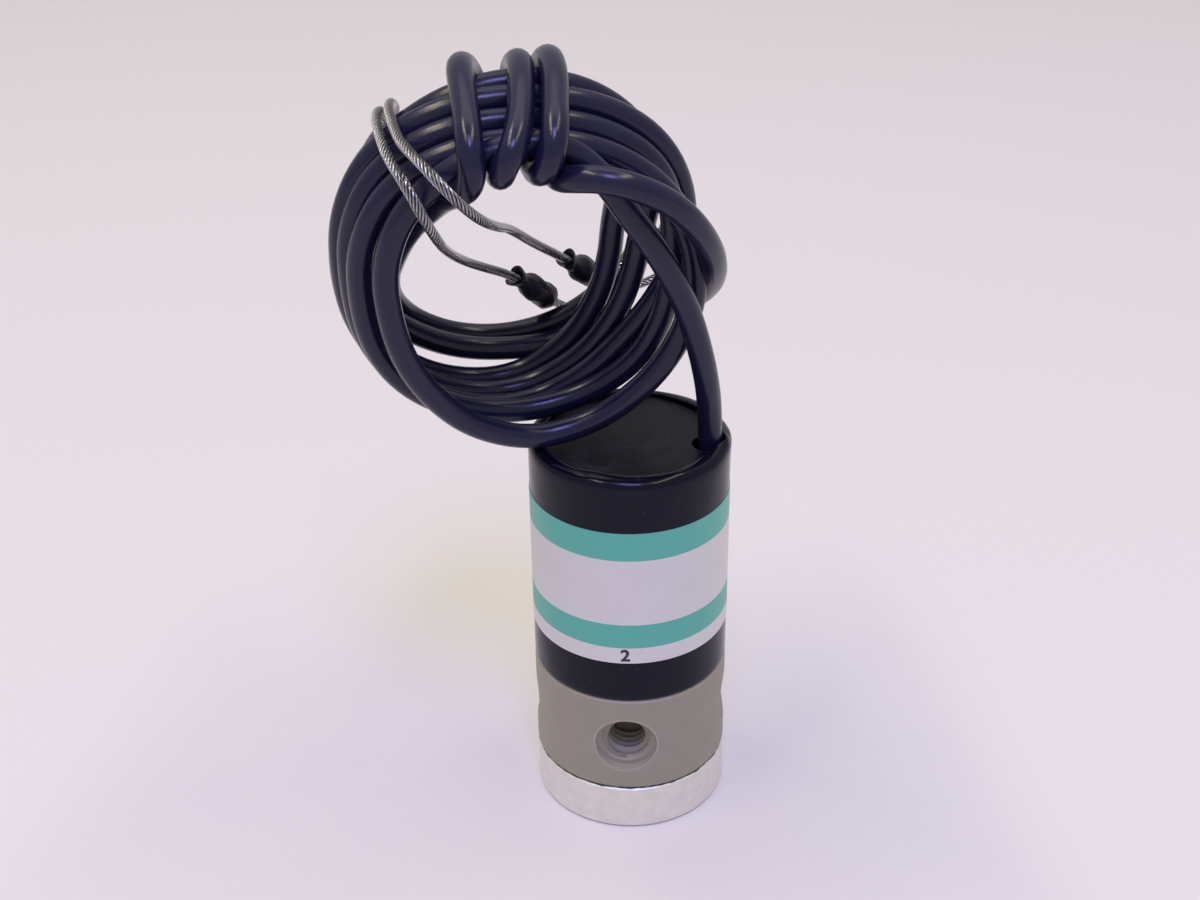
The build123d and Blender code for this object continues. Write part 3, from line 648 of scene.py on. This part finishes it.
# %% A finish
class Finish:
    def __init__(self, name, colour, roughness, metallic=0.0, **plain):
        self.material = bpy.data.materials.new(name)
        self.material.use_nodes = True
        self.tree = self.material.node_tree
        self.shader = self.tree.nodes["Principled BSDF"]
        self.set("Base Color", colour)
        self.set("Roughness", roughness)
        self.set("Metallic", metallic)
        for socket, value in plain.items():
            self.set(socket.replace("_", " "), value)

    def join(self, target, value):
        if isinstance(value, Wire):
            self.tree.links.new(value.socket, target)
        elif target.type == "RGBA":
            target.default_value = (*value, 1)
        else:
            target.default_value = value

    def set(self, socket, value):
        self.join(self.shader.inputs[socket], value)

    def node(self, kind, settings, sockets, output=0):
        node = self.tree.nodes.new(kind)
        for name, value in settings.items():
            setattr(node, name, value)
        for key, value in sockets.items():
            self.join(node.inputs[key], value)
        return Wire(self, node.outputs[output])

    def maths(self, operation, *values):
        return self.node("ShaderNodeMath", {"operation": operation}, dict(enumerate(values)))

    def place(self, stretch=(1, 1, 1)):
        """Where the surface is in the row frame, in millimetres, stretched along the axes."""
        own = self.node("ShaderNodeTexCoord", {}, {}, "Object")
        scale = [part / MM for part in stretch]
        return self.node("ShaderNodeVectorMath", {"operation": "MULTIPLY"}, {0: own, 1: scale})

    def part(self, axis):
        return self.node("ShaderNodeSeparateXYZ", {}, {0: self.place()}, axis)

    def from_axis(self):
        """Distance from the valve's axis in millimetres."""
        flat = self.place((1, 1, 0))
        return self.node("ShaderNodeVectorMath", {"operation": "LENGTH"}, {0: flat}, "Value")

    def noise(self, to_a_mm, detail=3.0, stretch=(1, 1, 1)):
        return self.node("ShaderNodeTexNoise", {},
                         {"Vector": self.place(stretch), "Scale": to_a_mm, "Detail": detail})

    def noise_by(self, value, to_a_mm, detail=2.0):
        """Noise that changes with one number alone, as turning marks do."""
        return self.node("ShaderNodeTexNoise", {"noise_dimensions": "1D"},
                         {"W": value, "Scale": to_a_mm, "Detail": detail})

    def specks(self, to_a_mm, size):
        """1 in small scattered spots, 0 elsewhere."""
        far = self.node("ShaderNodeTexVoronoi", {}, {"Vector": self.place(), "Scale": to_a_mm})
        return 1 - self.step_up(far, size * 0.6, size)

    def step_up(self, value, low, high):
        """0 below low, 1 above high, smooth between."""
        return self.node("ShaderNodeMapRange", {"interpolation_type": "SMOOTHSTEP"},
                         {"Value": value, "From Min": low, "From Max": high})

    def between(self, value, low, high, soft=0.03):
        return self.step_up(value, low - soft, low + soft) - self.step_up(
            value, high - soft, high + soft)

    def blend(self, share, first, second):
        return self.node("ShaderNodeMix", {"data_type": "RGBA"},
                         {0: share, 6: first, 7: second}, 2)

    def bump(self, height, depth, strength=1.0):
        normal = self.node("ShaderNodeBump", {},
                           {"Strength": strength, "Distance": depth * MM, "Height": height})
        self.set("Normal", normal)


print("finish methods:", [name for name in vars(Finish) if not name.startswith("_")])

# %% [markdown]
# The aluminium foot is bead-blasted and clear: nearly white, with a mottle of a few
# millimetres, a fine grain and bright specks where its upper edge has been knocked.

# %% Metal outside
def blasted_aluminium():
    finish = Finish("blasted_aluminium", (0.8, 0.77, 0.74), 0.42, metallic=0.75)
    mottle = finish.noise(0.6, 5.0)
    grain = finish.noise(7.0, 2.0)
    height = finish.part("Z")
    edge = finish.between(height, 6.45, 6.9) * finish.step_up(finish.noise(2.2, 4.0), 0.54, 0.64)
    worn = finish.blend(finish.step_up(mottle, 0.3, 0.7), (0.78, 0.755, 0.70), (0.84, 0.815, 0.76))
    finish.set("Base Color", finish.blend(edge, worn, (0.95, 0.94, 0.9)))
    finish.set("Roughness", 0.38 + 0.18 * grain - 0.1 * edge)
    finish.bump(grain, 0.012)
    return finish


def zinc_plate():
    finish = Finish("zinc_plate", (0.42, 0.42, 0.43), 0.4, metallic=1.0)
    cloud = finish.noise(1.1, 4.0)
    finish.set("Base Color", finish.blend(cloud, (0.34, 0.34, 0.36), (0.52, 0.52, 0.5)))
    finish.set("Roughness", 0.3 + 0.25 * cloud)
    finish.bump(finish.noise(6.0), 0.01)
    return finish


outside_metal = {"base_aluminium": blasted_aluminium(), "screw_steel": zinc_plate()}
print("finishes:", list(outside_metal))

# %% [markdown]
# The valve body is a turned warm-grey polymer. Turning leaves faint rings that change
# only with height. A painted highlight makes its top and foot edges and port rims paler.

# %% Body polymer
def from_port(finish, height):
    """Distance from the nearest port's axis; the back of the body counts as far away."""
    across = finish.maths("ABSOLUTE", finish.part("X"))
    along = finish.part("Y")
    sideways = finish.maths("MINIMUM", across, finish.maths("ABSOLUTE", along))
    above = height - PORT_HEIGHT
    square = sideways * sideways + above * above
    return finish.maths("SQRT", square) + 9 * finish.step_up(along, 4.5, 5.5)


def turned_polymer():
    finish = Finish("turned_polymer", (0.25, 0.22, 0.18), 0.5)
    height = finish.part("Z")
    cloud = finish.noise(0.35, 4.0)
    marks = finish.noise_by(height, 9.0)
    # painted highlight: the top and foot edges and the port spot-face rims are made paler
    painted_edge_highlight = finish.step_up(height, 21.0, 21.4) + 1 - finish.step_up(height, 6.8, 7.15)
    painted_edge_highlight = painted_edge_highlight + finish.between(from_port(finish, height), 3.95, 4.35, 0.12)
    tone = finish.blend(cloud, (0.275, 0.25, 0.2), (0.315, 0.288, 0.232))
    finish.set("Base Color", finish.blend(0.5 * painted_edge_highlight, tone, (0.42, 0.39, 0.34)))
    finish.set("Roughness", 0.42 + 0.14 * marks)
    finish.bump(0.6 * marks + 0.4 * finish.noise(8.0), 0.012)
    return finish


def plain_polymer(name, dark, light, roughness):
    """A moulded or machined plastic with a faint cloud and a fine grain."""
    finish = Finish(name, light, roughness)
    grain = finish.noise(5.0, 3.0)
    finish.set("Base Color", finish.blend(finish.noise(0.6, 4.0), dark, light))
    finish.set("Roughness", roughness - 0.06 + 0.12 * grain)
    finish.bump(grain, 0.01)
    return finish


polymers = {
    "body_polymer": turned_polymer(),
    "stem_plastic": plain_polymer("machined_white", (0.74, 0.72, 0.67), (0.86, 0.84, 0.8), 0.45),
    "bobbin_plastic": plain_polymer("moulded_cream", (0.66, 0.63, 0.54), (0.8, 0.78, 0.7), 0.5),
    "seal_rubber": plain_polymer("seal_rubber", (0.08, 0.08, 0.08), (0.14, 0.14, 0.14), 0.7),
    "winding_tape": plain_polymer("amber_tape", (0.62, 0.42, 0.09), (0.78, 0.6, 0.2), 0.3),
}
print("finishes:", list(polymers))

# %% [markdown]
# Steel parts inside are turned or drawn. Turned faces show rings about the axis, so
# their marks follow both the height and the distance from it. The winding is fine
# enamelled wire, layer on layer: a wave along the axis gives its turns and painted shade between
# them.

# %% Metals inside
def turned_steel(name, colour, roughness):
    finish = Finish(name, colour, roughness, metallic=1.0)
    marks = finish.noise_by(finish.from_axis() + 1.37 * finish.part("Z"), 7.0, 3.0)
    darker = [0.8 * part for part in colour]
    finish.set("Base Color", finish.blend(marks, darker, colour))
    finish.set("Roughness", roughness - 0.08 + 0.16 * marks)
    finish.bump(marks, 0.008)
    return finish


def tinned_strands():
    finish = Finish("tinned_strands", (0.6, 0.58, 0.55), 0.3, metallic=1.0)
    groove = finish.node("ShaderNodeAttribute", {"attribute_name": "groove"}, {}, "Fac")
    cloud = finish.noise(1.2)
    bright = finish.blend(cloud, (0.56, 0.54, 0.52), (0.86, 0.84, 0.82))
    # painted shade: the grooves between the strands turn near black
    finish.set("Base Color", finish.blend(groove, bright, (0.008, 0.008, 0.01)))
    finish.set("Roughness", 0.24 + 0.3 * groove)
    finish.bump(finish.noise(6.0), 0.006)
    return finish


def drawn_wire(name, colour, roughness):
    finish = Finish(name, colour, roughness, metallic=1.0)
    streak = finish.noise(4.0, 2.0)
    dull = [0.72 * part for part in colour]
    finish.set("Base Color", finish.blend(streak, dull, colour))
    finish.set("Roughness", roughness + 0.15 * streak)
    finish.bump(streak, 0.006)
    return finish


def enamelled_winding():
    finish = Finish("enamelled_winding", (0.6, 0.25, 0.1), 0.25, metallic=0.9, Coat_Weight=0.6)
    turn_shape_and_shade = finish.maths("ABSOLUTE", finish.maths("SINE", 15.0 * finish.part("Z")))
    cloud = finish.noise(0.8)
    tone = finish.blend(cloud, (0.5, 0.2, 0.08), (0.68, 0.34, 0.16))
    # painted shade: the lines between the wire turns are darkened
    finish.set("Base Color", finish.blend(turn_shape_and_shade, (0.16, 0.05, 0.02), tone))
    finish.bump(turn_shape_and_shade, 0.08)
    return finish


inside_metal = {
    "spring_steel": drawn_wire("spring_wire", (0.6, 0.6, 0.6), 0.22),
    "pole_steel": turned_steel("turned_steel", (0.5, 0.5, 0.5), 0.35),
    "tube_steel": turned_steel("drawn_tube", (0.62, 0.62, 0.62), 0.28),
    "winding_copper": enamelled_winding(),
    "tip_tin": tinned_strands(),
}
print("finishes:", list(inside_metal))

# %% [markdown]
# The cap is black and faced on a lathe: the tool's path leaves fine rings round the
# middle, clear in some places and worn smooth in others. The resin under it is cast and
# glossy, and sags a little between the nut and the wall.

# %% Cap and resin
RING_PITCH = 0.42


def faced_black():
    finish = Finish("faced_black", (0.003, 0.003, 0.007), 0.36, Specular_IOR_Level=0.2)
    out = finish.from_axis()
    rings = finish.maths("SINE", (math.tau / RING_PITCH) * out)
    patchy = finish.step_up(finish.noise(0.3, 3.0), 0.4, 0.62)
    scratches = finish.noise_by(out, 5.0, 3.0)
    finish.set("Base Color", finish.blend(
        patchy * (0.5 + 0.5 * rings), (0.0015, 0.0015, 0.006), (0.014, 0.014, 0.022)))
    finish.set("Roughness", 0.3 + 0.12 * scratches + 0.08 * patchy)
    finish.bump(0.6 * rings * patchy + scratches, 0.03)
    return finish


def cast_resin():
    finish = Finish("cast_resin", (0.012, 0.012, 0.014), 0.15)
    sag = finish.noise(0.25, 2.0)
    finish.set("Roughness", 0.08 + 0.16 * finish.noise(2.0))
    finish.bump(sag, 0.2)
    return finish


cap_finishes = {"cap_black": faced_black(), "potting_resin": cast_resin()}
print("finishes:", list(cap_finishes))

# %% [markdown]
# The shrunk film is glossy black. Up close it has a slow undulation from the case under
# it, a fine orange peel, and a few dust specks. The boots are the same kind of film,
# shrunk harder: duller and creased.

# %% Shrunk film
def glossy_film():
    finish = Finish("glossy_film", (0.003, 0.003, 0.011), 0.14, Specular_IOR_Level=0.2)
    dust = finish.specks(0.9, 0.07)
    drift = finish.noise(0.5, 3.0)
    finish.set("Base Color", finish.blend(dust, (0.003, 0.003, 0.011), (0.07, 0.07, 0.07)))
    finish.set("Roughness", 0.1 + 0.12 * drift + 0.3 * dust)
    finish.bump(finish.noise(0.16, 1.0) + 0.04 * finish.noise(2.5, 2.0), 0.14)
    return finish


def creased_film():
    finish = Finish("creased_film", (0.006, 0.006, 0.018), 0.38, Specular_IOR_Level=0.35)
    crease = finish.noise(1.4, 4.0, (1, 1, 0.6))
    finish.set("Base Color", finish.blend(crease, (0.004, 0.004, 0.012), (0.010, 0.010, 0.028)))
    finish.set("Roughness", 0.3 + 0.2 * crease)
    finish.bump(crease, 0.12)
    return finish


films = {"sleeve_black": glossy_film(), "boot_black": creased_film()}
print("finishes:", list(films))

# %% [markdown]
# The label is white film with two teal bands, printed by height. The numbers are the
# same film's black ink. Printed film has a slight tooth, and the ink a slight mottle.

# %% Label
LOWER_BAND = (30.09, 33.68)
UPPER_BAND = (43.38, 47.6)


def printed_film():
    finish = Finish("printed_film", (0.6, 0.57, 0.57), 0.35)
    height = finish.part("Z")
    bands = finish.between(height, *LOWER_BAND) + finish.between(height, *UPPER_BAND)
    tooth = finish.noise(6.0, 3.0)
    white = finish.blend(finish.noise(0.3, 3.0), (0.63, 0.61, 0.60), (0.69, 0.67, 0.66))
    teal = finish.blend(tooth, (0.085, 0.41, 0.33), (0.105, 0.46, 0.37))
    finish.set("Base Color", finish.blend(bands, white, teal))
    finish.set("Roughness", 0.3 + 0.14 * tooth)
    finish.bump(tooth, 0.004)
    return finish


def black_ink():
    finish = Finish("black_ink", (0.01, 0.01, 0.014), 0.4)
    mottle = finish.noise(7.0, 3.0)
    finish.set("Base Color", finish.blend(
        finish.step_up(mottle, 0.5, 0.8), (0.008, 0.008, 0.012), (0.05, 0.05, 0.06)))
    finish.set("Roughness", 0.34 + 0.14 * mottle)
    return finish


def green_sealant():
    finish = Finish("green_sealant", (0.02, 0.05, 0.03), 0.4)
    broken = finish.noise(1.7, 4.0)
    finish.set("Base Color", finish.blend(broken, (0.008, 0.02, 0.012), (0.05, 0.1, 0.065)))
    finish.bump(broken, 0.04)
    return finish


label_finish, ink_finish, sealant_finish = printed_film(), black_ink(), green_sealant()
print("bands of the label:", LOWER_BAND, UPPER_BAND)

# %% [markdown]
# The jacket is extruded PVC, dark slate-blue with a satin gloss. Extrusion leaves a
# very fine grain, handling leaves duller patches. The cores' sheath is clear: it
# refracts, and the strands under it are seen through it, magnified.

# %% Lead
def satin_jacket():
    finish = Finish("satin_jacket", (0.009, 0.0085, 0.034), 0.2, Specular_IOR_Level=0.36)
    handled = finish.noise(0.22, 4.0)
    grain = finish.noise(4.5, 3.0)
    finish.set("Base Color", finish.blend(handled, (0.007, 0.0068, 0.028), (0.011, 0.0105, 0.038)))
    finish.set("Roughness", 0.14 + 0.1 * handled + 0.06 * grain)
    finish.bump(grain + 1.5 * handled, 0.012)
    return finish


def clear_sheath():
    finish = Finish("clear_sheath", (0.95, 0.96, 1.0), 0.06, Transmission_Weight=1.0, IOR=1.35)
    finish.set("Roughness", 0.01 + 0.03 * finish.noise(1.5))
    finish.bump(finish.noise(0.9, 2.0), 0.03)
    return finish


lead_finishes = {"lead_jacket": satin_jacket(), "core_sheath": clear_sheath()}
print("finishes:", list(lead_finishes))

# %% [markdown]
# Each piece gets the finish of its slot in the record. A node of the CAD model takes it
# through its object's own slot, so that its mesh stays as it was packed.

# %% Paint everything
finishes = {**outside_metal, **polymers, **inside_metal, **cap_finishes, **films,
            **lead_finishes, "label_paper": label_finish}


def paint(piece, finish):
    if not piece.data.materials:
        piece.data.materials.append(None)
    for holder in piece.material_slots:
        holder.link = "OBJECT"
        holder.material = finish.material


for subpart in frame["record"]["subparts"]:
    if subpart["node"] in frame["nodes"]:
        paint(frame["nodes"][subpart["node"]], finishes[subpart["material_slot"]])
paint(lead, finishes["lead_jacket"])
paint(sleeve, finishes["sleeve_black"])
paint(sealant, sealant_finish)
for core, strands in cores.values():
    paint(core, finishes["core_sheath"])
    paint(strands, finishes["tip_tin"])
for boot in boots.values():
    paint(boot, finishes["boot_black"])
for thread in threads:
    paint(thread, finishes["body_polymer"])
for number in numbers:
    paint(number, ink_finish)
print("materials:", len(bpy.data.materials))

# %% [markdown]
# The return spring gets its own copy of its mesh, apart from the packed one.

# %% The spring's own mesh
spring = frame["nodes"]["plunger_spring"]
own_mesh(spring)

# %% [markdown]
# The room is a plain pale floor under soft light: two warm strips overhead at the left
# and right, which draw highlights along the lead, a broad warm panel behind, a
# violet-blue one in front and an even pale surround.

# %% Floor
FLOOR_REACH = 1.5


def add_floor():
    mesh = bpy.data.meshes.new("floor")
    corners = [(-FLOOR_REACH, -FLOOR_REACH, 0), (FLOOR_REACH, -FLOOR_REACH, 0),
               (FLOOR_REACH, FLOOR_REACH, 0), (-FLOOR_REACH, FLOOR_REACH, 0)]
    mesh.from_pydata(corners, [], [(0, 1, 2, 3)])
    floor = bpy.data.objects.new("floor", mesh)
    bpy.context.scene.collection.objects.link(floor)
    finish = Finish("pale_floor", (0.66, 0.64, 0.66), 0.9)
    grain = finish.noise(0.8, 3.0)
    finish.set("Base Color", finish.blend(grain, (0.65, 0.632, 0.64), (0.67, 0.652, 0.66)))
    mesh.materials.append(finish.material)
    return floor


floor = add_floor()
print("floor side:", 2 * FLOOR_REACH)


# %% Lamps and surround
def add_lamp(name, place, aim, size, power, colour):
    data = bpy.data.lights.new(name, "AREA")
    data.shape = "RECTANGLE"
    data.size, data.size_y = size
    data.energy = power
    data.color = colour
    lamp = bpy.data.objects.new(name, data)
    lamp.location = place
    lamp.rotation_euler = (Vector(aim) - Vector(place)).to_track_quat("-Z", "Y").to_euler()
    bpy.context.scene.collection.objects.link(lamp)
    return lamp


MIDDLE = (0, 0, 0.06)
lamps = [
    add_lamp("warm_left", (-0.40, -0.08, 0.90), MIDDLE, (0.8, 0.09), 3.6, (1.0, 0.88, 0.62)),
    add_lamp("warm_right", (0.38, -0.05, 0.90), MIDDLE, (0.7, 0.09), 2.1, (1.0, 0.90, 0.64)),
    add_lamp("soft_top", (0.0, 0.35, 0.90), MIDDLE, (0.8, 0.5), 1.2, (1.0, 0.95, 0.88)),
    add_lamp("violet_front", (0.06, -0.46, 0.82), MIDDLE, (0.24, 0.3), 3.6, (0.36, 0.34, 1.0)),
]
SURROUND = (0.86, 0.84, 0.87)
SURROUND_STRENGTH = 0.58
world = bpy.data.worlds.new("surround")
world.use_nodes = True
background = world.node_tree.nodes["Background"]
background.inputs["Color"].default_value = (*SURROUND, 1)
background.inputs["Strength"].default_value = SURROUND_STRENGTH
bpy.context.scene.world = world
bpy.context.scene.view_settings.view_transform = "Standard"
print("lamps:", [lamp.name for lamp in lamps])

# %% [markdown]
